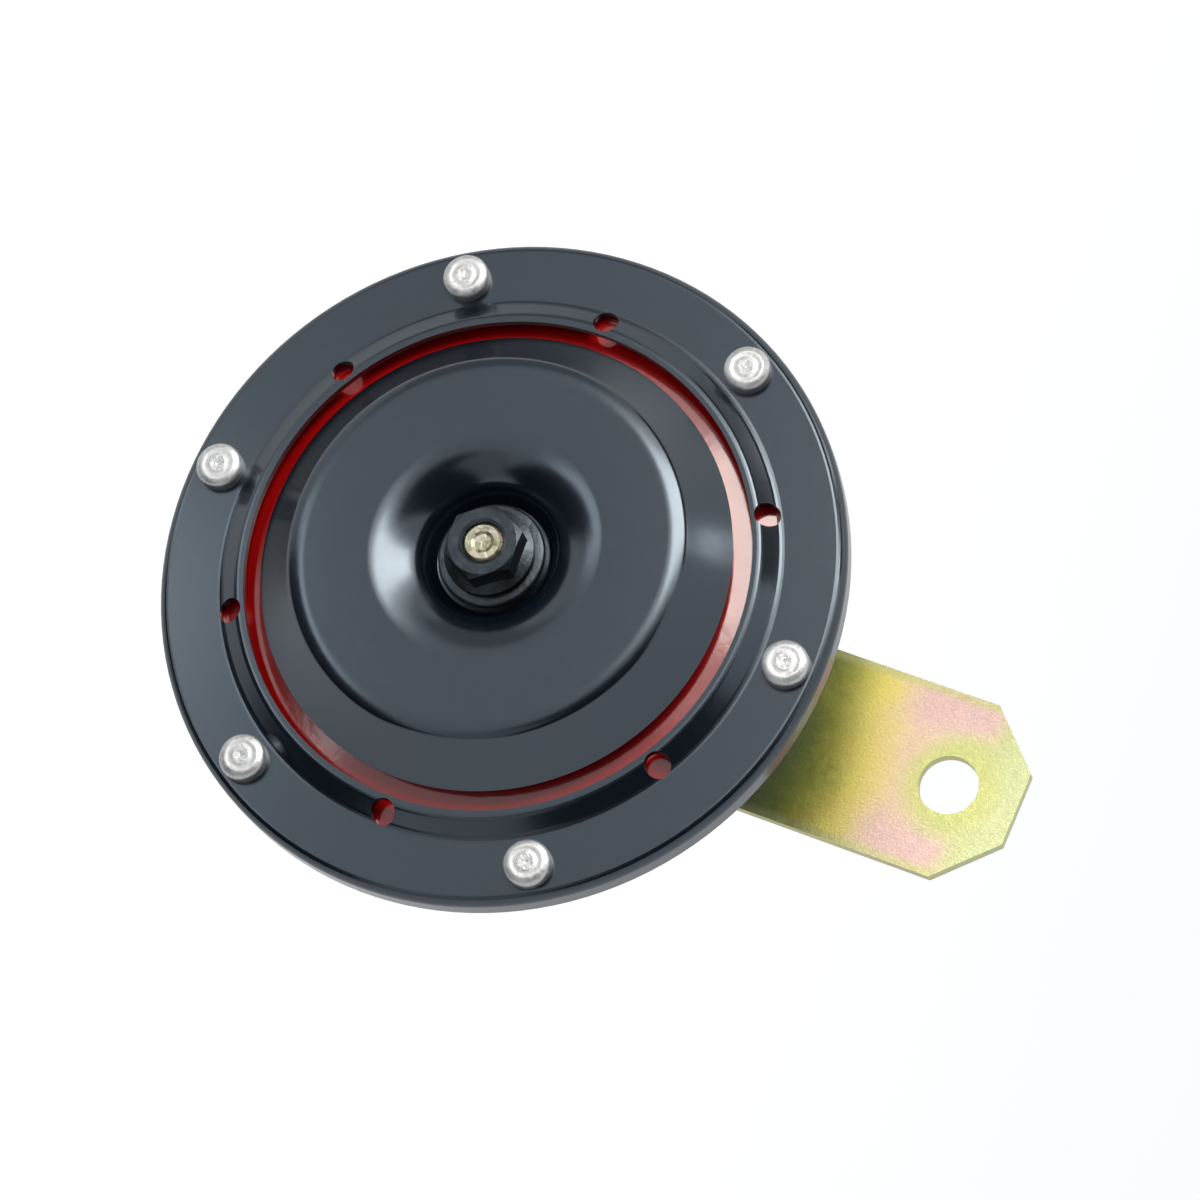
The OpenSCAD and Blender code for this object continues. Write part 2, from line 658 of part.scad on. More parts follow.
// Hexagon nut with its flange in one piece
module tone_disc_nut() {
    flange_r = nut_flange_d / 2;
    waist_r = nut_af / 2;
    mouth_r = stud_r + 0.45;
    z_flange = z_washer_top + nut_flange_t;
    color("#303234") rotate(nut_turn) difference() {
        union() {
            hexagon(nut_af, z_washer_top, z_nut_top, false);
            rotate_extrude()
                polygon([[0, z_washer_top], [flange_r, z_washer_top], [flange_r, z_flange],
                         [waist_r, z_flange + 0.6], [0, z_flange + 0.6]]);
        }
        bar(stud_r, z_washer_top - 1, z_nut_top + 1);
        rotate_extrude()
            polygon([[0, z_nut_top - mouth_r], [mouth_r, z_nut_top], [mouth_r, z_nut_top + 1],
                     [0, z_nut_top + 1]]);
    }
}

// Flat spacer that stands the tone disc off the diaphragm
module tone_disc_spacer() {
    color("#8d9296") tube(spacer_d / 2, stud_hole_r, z_centre_top, z_centre_top + spacer_t);
}

// Stud with a chamfered, slightly dished end and a head set into the armature
module armature_stud() {
    z_head = z_armature + stud_head_h;
    color("#cfcf9a") rotate_extrude()
        polygon([[0, z_armature], [stud_head_r, z_armature], [stud_head_r, z_head],
                 [stud_r, z_head], [stud_r, z_stud_tip - 0.5],
                 [stud_r - 0.5, z_stud_tip], [stud_r * 0.55, z_stud_tip],
                 [stud_r * 0.4, z_stud_tip - 0.2], [0, z_stud_tip - 0.2]]);
}

// Soft iron armature with its boss and the tongue that reaches over the breaker
module armature() {
    tongue_l = breaker_x + tongue_w / 2 - 1;
    color("#7d8288") difference() {
        union() {
            bar(pot_r, z_armature, z_armature_top);
            bar(spacer_d / 2, z_armature_top - eps, z_boss_top);
            translate([-tongue_l, pusher_y - tongue_w / 2, z_armature])
                cube([tongue_l, tongue_w, tongue_t]);
        }
        bar(stud_r, z_armature - 1, z_boss_top + 1);
        bar(stud_head_r, z_armature - 1, z_armature + stud_head_h);
        translate([-breaker_x, pusher_y, 0])
            bar(contact_pin_d / 2, z_armature - 1, z_armature + tongue_t + 1);
    }
}

// Insulating pusher pinned in the tongue
module armature_pusher() {
    color("#d8cfae") translate([-breaker_x, pusher_y, 0]) {
        bar(pusher_d / 2, z_pusher, z_armature);
        bar(contact_pin_d / 2, z_armature - eps, z_armature + tongue_t);
    }
}

// Magnet core and rear stud, turned in one piece
module magnet_core() {
    color("#8a8f94") rotate_extrude()
        polygon([[0, z_rear_tip], [rear_r - 0.6, z_rear_tip], [rear_r, z_rear_tip + 0.6],
                 [rear_r, z_pot_floor], [core_r, z_pot_floor], [core_r, z_pole - 0.4],
                 [core_r - 0.4, z_pole], [0, z_pole]]);
}

// Magnet pot with a notch for each lead
module magnet_pot() {
    color("#6f757b") difference() {
        bar(pot_r, z_floor, z_pole);
        bar(pot_r - pot_wall, z_pot_floor, z_pole + 1);
        bar(rear_r, z_floor - 1, z_pot_floor + 1);
        for (a = notch_angles) rotate(a) translate([0, -notch_w / 2, z_pole - notch_depth])
            cube([pot_r + 1, notch_w, notch_depth + 1]);
    }
}

// Bobbin with its two flanges
module coil_bobbin() {
    bore_r = core_r + bobbin_clear;
    flange_r = winding_r + winding_drop;
    color("#e6e0cc") rotate_extrude()
        polygon([[bore_r, z_pot_floor], [flange_r, z_pot_floor],
                 [flange_r, z_pot_floor + bobbin_t], [bore_r + bobbin_t, z_pot_floor + bobbin_t],
                 [bore_r + bobbin_t, z_bobbin_top - bobbin_t], [flange_r, z_bobbin_top - bobbin_t],
                 [flange_r, z_bobbin_top], [bore_r, z_bobbin_top]]);
}

// The whole winding as one solid between the flanges
module coil_winding() {
    inner_r = core_r + bobbin_clear + bobbin_t;
    color("#b5622d") tube(winding_r, inner_r, z_pot_floor + bobbin_t, z_bobbin_top - bobbin_t);
}

// Folded breaker bracket: shelf, leg and foot
module breaker_bracket() {
    leg_y = stack_y + stack_l / 2;
    color("#9a9d9f") difference() {
        union() {
            breaker_plate(stack_y - stack_l / 2, leg_y + shelf_t, z_shelf_top - shelf_t, z_shelf_top);
            breaker_plate(leg_y, leg_y + shelf_t, z_floor, z_shelf_top, foot_w);
            breaker_plate(foot_end_y, leg_y + shelf_t, z_floor, z_floor + shelf_t, foot_w);
        }
        at_stack_rivets() bar(small_rivet_d / 2, z_shelf_top - shelf_t - 1, z_shelf_top + 1);
        for (s = [-1, 1]) translate([-breaker_x, foot_rivet_y + s * foot_rivet_gap / 2, 0])
            bar(foot_rivet_d / 2, z_floor - 1, z_floor + shelf_t + 1);
    }
}

// One flat piece of the stack between two heights, drilled for the stack rivets
module stack_plate(z0, z1) {
    difference() {
        breaker_plate(stack_y - stack_l / 2, stack_y + stack_l / 2, z0, z1);
        at_stack_rivets() bar(small_rivet_d / 2, z0 - 1, z1 + 1);
    }
}

module insulator_lower() {
    color("#a06a3c") stack_plate(z_shelf_top, z_fixed_arm);
}

module insulator_middle() {
    color("#a06a3c") stack_plate(z_fixed_arm + fixed_arm_t, z_moving_arm);
}

module insulator_upper() {
    z0 = z_moving_arm + moving_arm_t;
    color("#a06a3c") stack_plate(z0, z0 + insulator_t);
}

module breaker_clamp_plate() {
    z0 = z_moving_arm + moving_arm_t + insulator_t;
    color("#9a9d9f") stack_plate(z0, z0 + clamp_t);
}

// A contact arm between two places along Y, clear of the stack rivets and bored for a contact
module contact_arm(y0, y1, z0, t) {
    difference() {
        breaker_plate(y0, y1, z0, z0 + t);
        at_stack_rivets() bar(small_rivet_d / 2 + arm_hole_clear, z0 - 1, z0 + t + 1);
        translate([-breaker_x, contact_y, 0]) bar(contact_pin_d / 2, z0 - 1, z0 + t + 1);
    }
}

module fixed_contact_arm() {
    color("#c9a24a") contact_arm(arm_end_y, stack_y + stack_l / 2, z_fixed_arm, fixed_arm_t);
}

module moving_contact_arm() {
    color("#c9a24a") contact_arm(arm_end_y, tail_y, z_moving_arm, moving_arm_t);
}

// A contact with its pin through the arm
module contact(z_face0, z_face1, z_pin0, z_pin1) {
    color("#c8cacc") translate([-breaker_x, contact_y, 0]) {
        bar(contact_d / 2, z_face0, z_face1);
        bar(contact_pin_d / 2, z_pin0, z_pin1);
    }
}

module fixed_contact() {
    z0 = z_fixed_arm + fixed_arm_t;
    contact(z0, z0 + contact_t, z_fixed_arm, z0 + eps);
}

module moving_contact() {
    contact(z_moving_arm - contact_t, z_moving_arm, z_moving_arm - eps,
            z_moving_arm + moving_arm_t);
}

// A rivet with a flat head at each end
module double_rivet(r, head_r, head_h, z0, z1) {
    bar(head_r, z0 - head_h, z0);
    bar(r, z0 - eps, z1 + eps);
    bar(head_r, z1, z1 + head_h);
}

module stack_rivet(i) {
    z1 = z_moving_arm + moving_arm_t + insulator_t + clamp_t;
    color("#b9bcbf") translate([-breaker_x, stack_y + (2 * i - 3) * stack_rivet_gap / 2, 0])
        double_rivet(small_rivet_d / 2, small_head_r, small_head_h, z_shelf_top - shelf_t, z1);
}

module foot_rivet(i) {
    color("#24282e") translate([-breaker_x, foot_rivet_y + (2 * i - 3) * foot_rivet_gap / 2, 0])
        double_rivet(foot_rivet_d / 2, foot_head_r, foot_head_h, z_floor_out, z_floor + shelf_t);
}

// Slotted adjusting screw that sets the fixed contact arm
module adjusting_screw() {
    color("#c7b96a") translate([-breaker_x, pusher_y, 0]) difference() {
        bar(adjuster_d / 2, z_adjuster_end, z_fixed_arm - tip_h);
        translate([-adjuster_d, -0.4, z_adjuster_end - 1]) cube([2 * adjuster_d, 0.8, 2.2]);
    }
}

module adjuster_tip() {
    color("#d8cfae") translate([-breaker_x, pusher_y, 0])
        bar(adjuster_d / 2 - 0.2, z_fixed_arm - tip_h, z_fixed_arm);
}

// Threaded bush set in the floor
module adjuster_bush() {
    color("#b08d3e") translate([-breaker_x, pusher_y, 0]) difference() {
        union() {
            bar(bush_d / 2, z_floor, z_floor + bush_h);
            bar(bush_neck_r, z_floor_out, z_floor + eps);
        }
        bar(adjuster_d / 2, z_floor_out - 1, z_floor + bush_h + 1);
    }
}

module adjuster_seal() {
    color("#5a2c20") translate([-breaker_x, pusher_y, 0])
        tube(bush_d / 2 + 0.9, adjuster_d / 2, z_floor_out - seal_t, z_floor_out);
}

module adjuster_lock_nut() {
    color("#c7b96a") translate([-breaker_x, pusher_y, 0]) difference() {
        hexagon(adjuster_af, z_adjuster_nut, z_floor_out - seal_t);
        bar(adjuster_d / 2, z_adjuster_nut - 1, z_floor_out + 1);
    }
}

// Outer terminal plate with two spigots through the floor
module terminal_plate() {
    corner = 2.5;
    color("#16181a") translate([0, -terminal_y, 0]) difference() {
        union() {
            for (sx = [-1, 1], sy = [-1, 1])
                translate([sx * (plate_l / 2 - corner), sy * (plate_w / 2 - corner), 0])
                    bar(corner, z_plate, z_floor_out);
            translate([-plate_l / 2 + corner, -plate_w / 2, z_plate])
                cube([plate_l - 2 * corner, plate_w, plate_t]);
            translate([-plate_l / 2, -plate_w / 2 + corner, z_plate])
                cube([plate_l, plate_w - 2 * corner, plate_t]);
            for (s = [-1, 1]) translate([s * terminal_pitch / 2, 0, 0])
                bar(spigot_d / 2, z_floor_out - eps, z_floor);
        }
        for (s = [-1, 1]) translate([s * terminal_pitch / 2, 0, 0])
            bar(terminal_rivet_d / 2, z_plate - 1, z_floor + 1);
    }
}

// Inner insulating plate
module terminal_inner_plate() {
    y0 = -terminal_y - plate_w / 2 + 1;
    y1 = -pot_r - 0.2;
    color("#a06a3c") difference() {
        translate([-plate_l / 2 + 1.5, y0, z_floor]) cube([plate_l - 3, y1 - y0, inner_plate_t]);
        for (s = [-1, 1]) translate([s * terminal_pitch / 2, -terminal_y, 0])
            bar(terminal_rivet_d / 2, z_floor - 1, z_floor + inner_plate_t + 1);
    }
}

// Flat blade that points away from the bracket, with its latch hole
module terminal_blade(i) {
    half = blade_w / 2;
    tip_y = -plate_w / 2 - blade_l;
    color("#c9ccce") translate([(2 * i - 3) * terminal_pitch / 2, -terminal_y, 0]) difference() {
        translate([0, 0, z_blade]) linear_extrude(blade_t)
            polygon([[-blade_foot_l / 2, blade_foot_l / 2], [-blade_foot_l / 2, -blade_foot_l / 2],
                     [-half, -blade_foot_l / 2 - 1], [-half, tip_y + blade_tip],
                     [-half + blade_tip / 2, tip_y], [half - blade_tip / 2, tip_y],
                     [half, tip_y + blade_tip], [half, -blade_foot_l / 2 - 1],
                     [blade_foot_l / 2, -blade_foot_l / 2], [blade_foot_l / 2, blade_foot_l / 2]]);
        bar(terminal_rivet_d / 2, z_blade - 1, z_plate + 1);
        translate([0, tip_y + 3.2, 0]) bar(blade_hole_d / 2, z_blade - 1, z_plate + 1);
    }
}

module terminal_rivet(i) {
    color("#b9bcbf") translate([(2 * i - 3) * terminal_pitch / 2, -terminal_y, 0])
        double_rivet(terminal_rivet_d / 2, terminal_head_r, terminal_head_h, z_blade,
                     z_floor + inner_plate_t);
}

module coil_lead_start() {
    color("#a8231b") wire(lead_start_route);
}

module coil_lead_end() {
    color("#b5622d") wire(lead_end_route);
}

module breaker_lead() {
    color("#a8231b") wire(breaker_lead_route);
}

// Flat strip bracket, held by the rear stud
module bracket() {
    color("#c9b458") difference() {
        cut_strip(bracket_w, -bracket_tail, hole_y + bracket_end, tail_cut, bracket_cut,
                  z_bracket_back, z_floor_out);
        bar(rear_hole_r, z_bracket_back - 1, z_floor_out + 1);
        translate([0, hole_y, 0]) bar(hole_d / 2, z_bracket_back - 1, z_floor_out + 1);
    }
}

module bracket_washer() {
    color("#c7b96a") tube(rear_washer_d / 2, rear_hole_r, z_rear_washer, z_bracket_back);
}

// Split spring washer
module bracket_spring_washer() {
    color("#b9bcbf") difference() {
        tube(spring_washer_d / 2, rear_hole_r, z_spring_washer, z_rear_washer);
        rotate(30) translate([0, -0.6, z_spring_washer - 1])
            cube([spring_washer_d, 1.2, spring_washer_t + 2]);
    }
}

module bracket_nut() {
    color("#c7b96a") difference() {
        hexagon(rear_nut_af, z_rear_nut, z_spring_washer);
        bar(rear_r, z_rear_nut - 1, z_spring_washer + 1);
    }
}

place() front_ring();
place() gasket(z_diaphragm_top);  // front_gasket
place() diaphragm();
place() gasket(0);  // rear_gasket
place() housing();
for (i = [1:rivet_count])
    place() rivet(i);
place() tone_disc();
place() tone_disc_washer();
place() tone_disc_nut();
place() tone_disc_spacer();
place() armature_stud();
place() armature();
place() armature_pusher();
place() magnet_core();
place() magnet_pot();
place() coil_bobbin();
place() coil_winding();
place() breaker_bracket();
place() breaker_clamp_plate();
place() insulator_lower();
place() insulator_middle();
place() insulator_upper();
place() fixed_contact_arm();
place() moving_contact_arm();
place() fixed_contact();
place() moving_contact();
for (i = [1:2]) {
    place() stack_rivet(i);
    place() foot_rivet(i);
    place() terminal_blade(i);
    place() terminal_rivet(i);
}
place() adjusting_screw();
place() adjuster_tip();
place() adjuster_bush();
place() adjuster_seal();
place() adjuster_lock_nut();
place() terminal_plate();
place() terminal_inner_plate();
place() coil_lead_start();
place() coil_lead_end();
place() breaker_lead();
place() bracket();
place() bracket_washer();
place() bracket_spring_washer();
place() bracket_nut();
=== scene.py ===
import json
import math

import bmesh
import bpy
from mathutils import Matrix, Quaternion, Vector


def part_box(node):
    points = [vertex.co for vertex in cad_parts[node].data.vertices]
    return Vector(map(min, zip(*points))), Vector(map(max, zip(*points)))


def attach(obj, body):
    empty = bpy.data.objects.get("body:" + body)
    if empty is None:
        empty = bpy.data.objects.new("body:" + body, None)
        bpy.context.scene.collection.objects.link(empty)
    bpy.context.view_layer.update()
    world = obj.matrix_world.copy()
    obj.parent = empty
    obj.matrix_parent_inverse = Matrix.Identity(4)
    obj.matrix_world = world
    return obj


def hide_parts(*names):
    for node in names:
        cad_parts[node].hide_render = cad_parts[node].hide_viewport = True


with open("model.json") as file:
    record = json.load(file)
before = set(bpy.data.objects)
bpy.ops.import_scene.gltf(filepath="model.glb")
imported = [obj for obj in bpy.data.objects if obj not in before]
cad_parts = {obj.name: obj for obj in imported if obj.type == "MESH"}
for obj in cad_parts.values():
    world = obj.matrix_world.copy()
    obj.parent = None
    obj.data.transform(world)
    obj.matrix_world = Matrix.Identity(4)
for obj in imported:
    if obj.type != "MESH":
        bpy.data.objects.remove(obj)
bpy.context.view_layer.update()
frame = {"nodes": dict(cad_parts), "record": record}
nodes = frame["nodes"]

# The horn's axis is parallel to Y and passes through this height
AXIS_Z = (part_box("front_ring")[0][2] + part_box("front_ring")[1][2]) / 2
MM_PER_M = 1000.0
WHITE = (1, 1, 1, 1)


# Angles in degrees
def sin_of(degrees):
    return math.sin(math.radians(degrees))


def cos_of(degrees):
    return math.cos(math.radians(degrees))


def tan_of(degrees):
    return math.tan(math.radians(degrees))


# Shader helpers

# Most of a noise's values lie between these two
NOISE_LOW = 0.3
NOISE_HIGH = 0.7


class Shader:
    """A material's node tree, with short calls for the nodes used here."""

    def __init__(self, name):
        self.mat = bpy.data.materials.new(name)
        self.mat.use_nodes = True
        self.tree = self.mat.node_tree
        self.tree.nodes.clear()
        self.bsdf = self.tree.nodes.new("ShaderNodeBsdfPrincipled")
        self.out = self.tree.nodes.new("ShaderNodeOutputMaterial")
        self.link(self.bsdf.outputs[0], self.out.inputs[0])

    def link(self, output, socket):
        self.tree.links.new(output, socket)

    def node(self, kind, **values):
        node = self.tree.nodes.new(kind)
        for key, value in values.items():
            setattr(node, key, value)
        return node

    def put(self, socket, value):
        """Links an output, or sets a plain value."""
        if isinstance(value, bpy.types.NodeSocket):
            self.link(value, socket)
        else:
            socket.default_value = value

    def coords(self):
        """A point's place in metres, in the frame that all pieces share."""
        return self.node("ShaderNodeTexCoord").outputs["Object"]

    def noise(self, scale, detail=3.0, distortion=0.0):
        """Smooth random values, finer with a higher scale."""
        texture = self.node("ShaderNodeTexNoise")
        self.link(self.coords(), texture.inputs["Vector"])
        texture.inputs["Scale"].default_value = scale
        texture.inputs["Detail"].default_value = detail
        texture.inputs["Distortion"].default_value = distortion
        return texture.outputs["Fac"]

    def ramp(self, value, *stops):
        """Colours, or greys given as one number, at their places from 0 to 1."""
        node = self.node("ShaderNodeValToRGB")
        elements = node.color_ramp.elements
        while len(elements) < len(stops):
            elements.new(0.5)
        for element, (place, color) in zip(elements, stops):
            element.position = place
            element.color = (*color, 1) if isinstance(color, tuple) else (color, color, color, 1)
        self.link(value, node.inputs[0])
        return node.outputs[0]

    def span(self, value, from_low, from_high, to_low, to_high):
        """Maps one range to another and stops at its ends."""
        node = self.node("ShaderNodeMapRange")
        self.put(node.inputs["Value"], value)
        for key, limit in (("From Min", from_low), ("From Max", from_high),
                           ("To Min", to_low), ("To Max", to_high)):
            node.inputs[key].default_value = limit
        return node.outputs[0]

    def shade(self, noise, low, high):
        """Goes from one colour to another with a noise."""
        return self.ramp(noise, (NOISE_LOW, low), (NOISE_HIGH, high))

    def vary(self, noise, low, high):
        """Goes from one number to another with a noise."""
        return self.span(noise, NOISE_LOW, NOISE_HIGH, low, high)

    def math(self, operation, first, second=0.0):
        node = self.node("ShaderNodeMath", operation=operation)
        self.put(node.inputs[0], first)
        self.put(node.inputs[1], second)
        return node.outputs[0]

    def mix(self, share, first, second, mode="MIX"):
        """Mixes two colours; share is the second one's part."""
        node = self.node("ShaderNodeMix", data_type="RGBA", blend_type=mode)
        self.put(node.inputs[0], share)
        for socket, value in ((node.inputs[6], first), (node.inputs[7], second)):
            self.put(socket, (*value, 1) if isinstance(value, tuple) else value)
        return node.outputs[2]

    def split(self, vector):
        node = self.node("ShaderNodeSeparateXYZ")
        self.link(vector, node.inputs[0])
        return node.outputs

    def from_middle(self):
        """Distance from the middle of the piece's box, across the horn's axis: 1 at its rim."""
        xyz = self.split(self.node("ShaderNodeTexCoord").outputs["Generated"])
        x = self.math("SUBTRACT", xyz[0], 0.5)
        z = self.math("SUBTRACT", xyz[2], 0.5)
        square = self.math("ADD", self.math("MULTIPLY", x, x), self.math("MULTIPLY", z, z))
        return self.math("MULTIPLY", self.math("SQRT", square), 2.0)

    def bump(self, height, strength, distance):
        node = self.node("ShaderNodeBump")
        node.inputs["Strength"].default_value = strength
        node.inputs["Distance"].default_value = distance
        self.link(height, node.inputs["Height"])
        self.link(node.outputs[0], self.bsdf.inputs["Normal"])

    def base(self, color, rough, metal):
        for key, value in (("Base Color", color), ("Roughness", rough), ("Metallic", metal)):
            self.put(self.bsdf.inputs[key], value)

    def glow(self, strength):
        """Takes the surface's own reflections away and lets it shine white."""
        self.bsdf.inputs["Specular IOR Level"].default_value = 0.0
        self.bsdf.inputs["Emission Color"].default_value = WHITE
        self.put(self.bsdf.inputs["Emission Strength"], strength)


def srgb(red, green, blue):
    """Linear colour from 0-255 screen values."""
    def linear(value):
        value = value / 255
        return value / 12.92 if value <= 0.04045 else ((value + 0.055) / 1.055) ** 2.4
    return linear(red), linear(green), linear(blue)


# Materials, each named after its slot
def black_paint(name):
    """Glossy black paint with slightly blue reflections."""
    paint = Shader(name)
    paint.base(paint.shade(paint.noise(60), srgb(5, 11, 18), srgb(8, 15, 24)),
               paint.vary(paint.noise(900, 2), 0.18, 0.21), 0.0)
    paint.bsdf.inputs["IOR"].default_value = 1.81
    paint.bsdf.inputs["Specular Tint"].default_value = (0.72, 0.86, 1.0, 1)
    paint.bump(paint.noise(1500, 2), 0.03, 0.0001)
    return paint.mat


def red_paint(name):
    """Glossy red paint of the diaphragm."""
    paint = Shader(name)
    paint.base(paint.shade(paint.noise(70, 2), srgb(132, 6, 8), srgb(146, 10, 11)),
               paint.vary(paint.noise(260, 2), 0.1, 0.15), 0.0)
    paint.bsdf.inputs["IOR"].default_value = 1.64
    paint.bump(paint.noise(900, 2), 0.06, 0.0002)
    return paint.mat


def bright_zinc(name):
    """Pale zinc of rivets, blades and the breaker's plates.

    Rings and a rough spot round each piece's middle are the marks of the setting tool, as on
    the heads of the six rivets."""
    metal = Shader(name)
    away = metal.from_middle()
    fine = metal.noise(2200)
    rings = metal.math("SINE", metal.math("MULTIPLY", away, 21.0))
    middle = metal.span(away, 0.3, 0.42, 1.0, 0.0)
    marks = metal.math("MULTIPLY", middle, metal.noise(1600, 2, distortion=1.5))
    metal.base(metal.shade(fine, srgb(166, 169, 171), srgb(194, 196, 197)),
               metal.vary(fine, 0.34, 0.5), 0.85)
    height = metal.math("ADD", metal.math("MULTIPLY", rings, 0.35),
                        metal.math("MULTIPLY", marks, 2.2))
    metal.bump(metal.math("ADD", height, metal.math("MULTIPLY", fine, 0.5)), 0.35, 0.0002)
    return metal.mat


def stud_zinc(name):
    """Yellow passivated end of the stud, roughened by its setting."""
    metal = Shader(name)
    spots = metal.noise(900, 4, distortion=1.0)
    metal.base(metal.ramp(spots, (0.3, srgb(104, 100, 82)), (0.45, srgb(140, 144, 120)),
                          (0.55, srgb(158, 152, 138)), (0.7, srgb(182, 176, 166))),
               metal.vary(metal.noise(1500), 0.3, 0.45), 1.0)
    metal.bump(spots, 0.5, 0.0003)
    return metal.mat


def dark_steel(name):
    """Blackened steel of nut and washer, a little glossy."""
    metal = Shader(name)
    metal.base(metal.shade(metal.noise(500, 4), srgb(44, 50, 55), srgb(60, 67, 73)),
               metal.vary(metal.noise(900), 0.26, 0.36), 0.9)
    metal.bump(metal.noise(1400), 0.16, 0.0003)
    return metal.mat


def yellow_zinc(name):
    """Yellow passivated zinc of bracket, nuts, washer and adjusting screw.

    Green, yellow and pink tints run along the bracket. The darker olive band next to the ring is
    painted shade and a painted reflection of the dark horn body. Lengths are in millimetres from
    its bolt hole: along runs up the bracket, and across from side to side. The tints' borders
    wander."""
    metal = Shader(name)
    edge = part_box("bracket")[1][0] * MM_PER_M
    xyz = metal.split(metal.coords())
    across = metal.math("MULTIPLY", xyz[0], MM_PER_M)
    along = metal.math("MULTIPLY", xyz[2], MM_PER_M)
    wander = metal.vary(metal.noise(55), -2.0, 2.0)
    reach = metal.math("ADD", along, wander)
    # The darker olive stops at 0.56 and 0.60, next to the ring, are painted shade and a painted
    # reflection of the dark horn body; the other stops are the zinc's own tints
    strip_tints_and_reflection = metal.ramp(metal.span(reach, -70.0, 8.0, 0.0, 1.0),
                       (0.08, srgb(184, 174, 112)), (0.31, srgb(170, 166, 96)),
                       (0.46, srgb(160, 158, 90)), (0.56, srgb(126, 140, 98)),
                       (0.60, srgb(134, 146, 84)), (0.635, srgb(158, 162, 78)),
                       (0.67, srgb(184, 180, 90)), (0.72, srgb(214, 202, 110)),
                       (0.775, srgb(212, 194, 136)), (0.82, srgb(208, 182, 158)),
                       (0.86, srgb(202, 184, 152)), (0.905, srgb(188, 192, 136)),
                       (1.0, srgb(186, 192, 146)))
    far = metal.math("ABSOLUTE", across)
    side = metal.span(metal.math("ADD", far, metal.math("MULTIPLY", wander, 0.5)),
                      6.0, 9.5, 0.0, 1.0)
    side = metal.math("MULTIPLY", side, metal.span(reach, -12.0, -6.5, 0.0, 1.0))
    side = metal.math("MULTIPLY", side, metal.span(reach, 1.5, 4.5, 1.0, 0.0))
    tint = metal.mix(side, strip_tints_and_reflection, srgb(206, 176, 170))
    near_edge = metal.span(far, edge - 1.6, edge - 0.6, 0.0, 0.8)
    tint = metal.mix(near_edge, tint, srgb(186, 188, 132))
    square = metal.math("ADD", metal.math("MULTIPLY", across, across),
                        metal.math("MULTIPLY", along, along))
    from_hole = metal.math("ADD", metal.math("SQRT", square), metal.math("MULTIPLY", wander, 0.6))
    tint = metal.mix(metal.span(from_hole, 5.5, 8.5, 0.9, 0.0), tint, srgb(186, 190, 124))
    grain = metal.noise(2600, 2)
    metal.base(metal.mix(1.0, tint, metal.ramp(grain, (0.25, 0.86), (0.75, 1.0)), "MULTIPLY"),
               metal.vary(metal.noise(1200), 0.36, 0.5), 0.8)
    metal.bump(grain, 0.12, 0.0002)
    return metal.mat


def plain_metal(name, low, high, rough):
    metal = Shader(name)
    metal.base(metal.shade(metal.noise(400, 4), srgb(*low), srgb(*high)),
               metal.vary(metal.noise(700), rough - 0.05, rough + 0.08), 1.0)
    metal.bump(metal.noise(1200), 0.1, 0.0003)
    return metal.mat


def plain_solid(name, low, high, rough):
    """Fibre, plastic or rubber."""
    solid = Shader(name)
    solid.base(solid.shade(solid.noise(300, 4), srgb(*low), srgb(*high)),
               solid.vary(solid.noise(500), rough - 0.06, rough + 0.06), 0.0)
    solid.bump(solid.noise(900), 0.12, 0.0003)
    return solid.mat


MATERIALS = {
    "black_paint": black_paint("black_paint"),
    "red_paint": red_paint("red_paint"),
    "yellow_zinc": yellow_zinc("yellow_zinc"),
    "bright_zinc": bright_zinc("bright_zinc"),
    "stud_zinc": stud_zinc("stud_zinc"),
    "dark_steel": dark_steel("dark_steel"),
    "soft_iron": plain_metal("soft_iron", (140, 144, 148), (160, 164, 168), 0.4),
    "copper": plain_metal("copper", (178, 92, 44), (206, 116, 60), 0.35),
    "spring_bronze": plain_metal("spring_bronze", (196, 156, 70), (214, 176, 92), 0.32),
    "contact_metal": plain_metal("contact_metal", (200, 202, 204), (216, 218, 220), 0.35),
    "bush_brass": plain_metal("bush_brass", (180, 144, 66), (200, 164, 84), 0.33),
    "gasket_fibre": plain_solid("gasket_fibre", (56, 56, 52), (72, 71, 66), 0.8),
    "insulator": plain_solid("insulator", (150, 98, 54), (176, 120, 72), 0.6),
    "pale_plastic": plain_solid("pale_plastic", (216, 208, 184), (230, 222, 200), 0.5),
    "black_plastic": plain_solid("black_plastic", (22, 24, 26), (32, 34, 36), 0.5),
    "seal_rubber": plain_solid("seal_rubber", (86, 44, 34), (104, 56, 44), 0.7),
    "wire_sleeve": plain_solid("wire_sleeve", (160, 34, 28), (180, 46, 38), 0.5),
}

for entry in frame["record"]["subparts"]:
    mesh = nodes[entry["node"]].data
    mesh.materials.clear()
    mesh.materials.append(MATERIALS[entry["material_slot"]])


# Tone disc and its washer, turned in finer steps than the solids have

# Places and outer sizes are those of the solids. The bowl's wall, the flare and the washer's
# top follow the photo a little more closely than the solids do.
SEAT_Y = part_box("tone_disc_washer")[1][1]
DISC_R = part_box("tone_disc")[1][0]
BOWL_DEPTH = SEAT_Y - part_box("tone_disc")[0][1]
WASHER_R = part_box("tone_disc_washer")[1][0]
WASHER_T = SEAT_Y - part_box("tone_disc_washer")[0][1]
# Holes as wide as the stud's thickest part, covered by the nut in front and the spacer behind
HOLE_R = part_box("armature_stud")[1][0]
SHEET_T = 0.0012
LATHE_STEPS = 360
SHARP_FROM = 35

# The disc's front face from the seat outwards: radii in metres, slopes in degrees
SEAT_R = 0.008
FOOT_R = 0.0005
FOOT_SLOPE = 60
BEND_R = 0.004
BEND_SLOPE = 36
WALL_R = 0.0131
WALL_SLOPE = 8
BOWL_RIM_R = 0.005
SHOULDER_R = 0.0065
SHOULDER_SLOPE = 20
FLARE_BEND_R = 0.0016
FLARE_SLOPE = 49
EDGE_SLOPE = 42
# How far the disc's edge lies behind its seat
EDGE_DROP = 0.0004

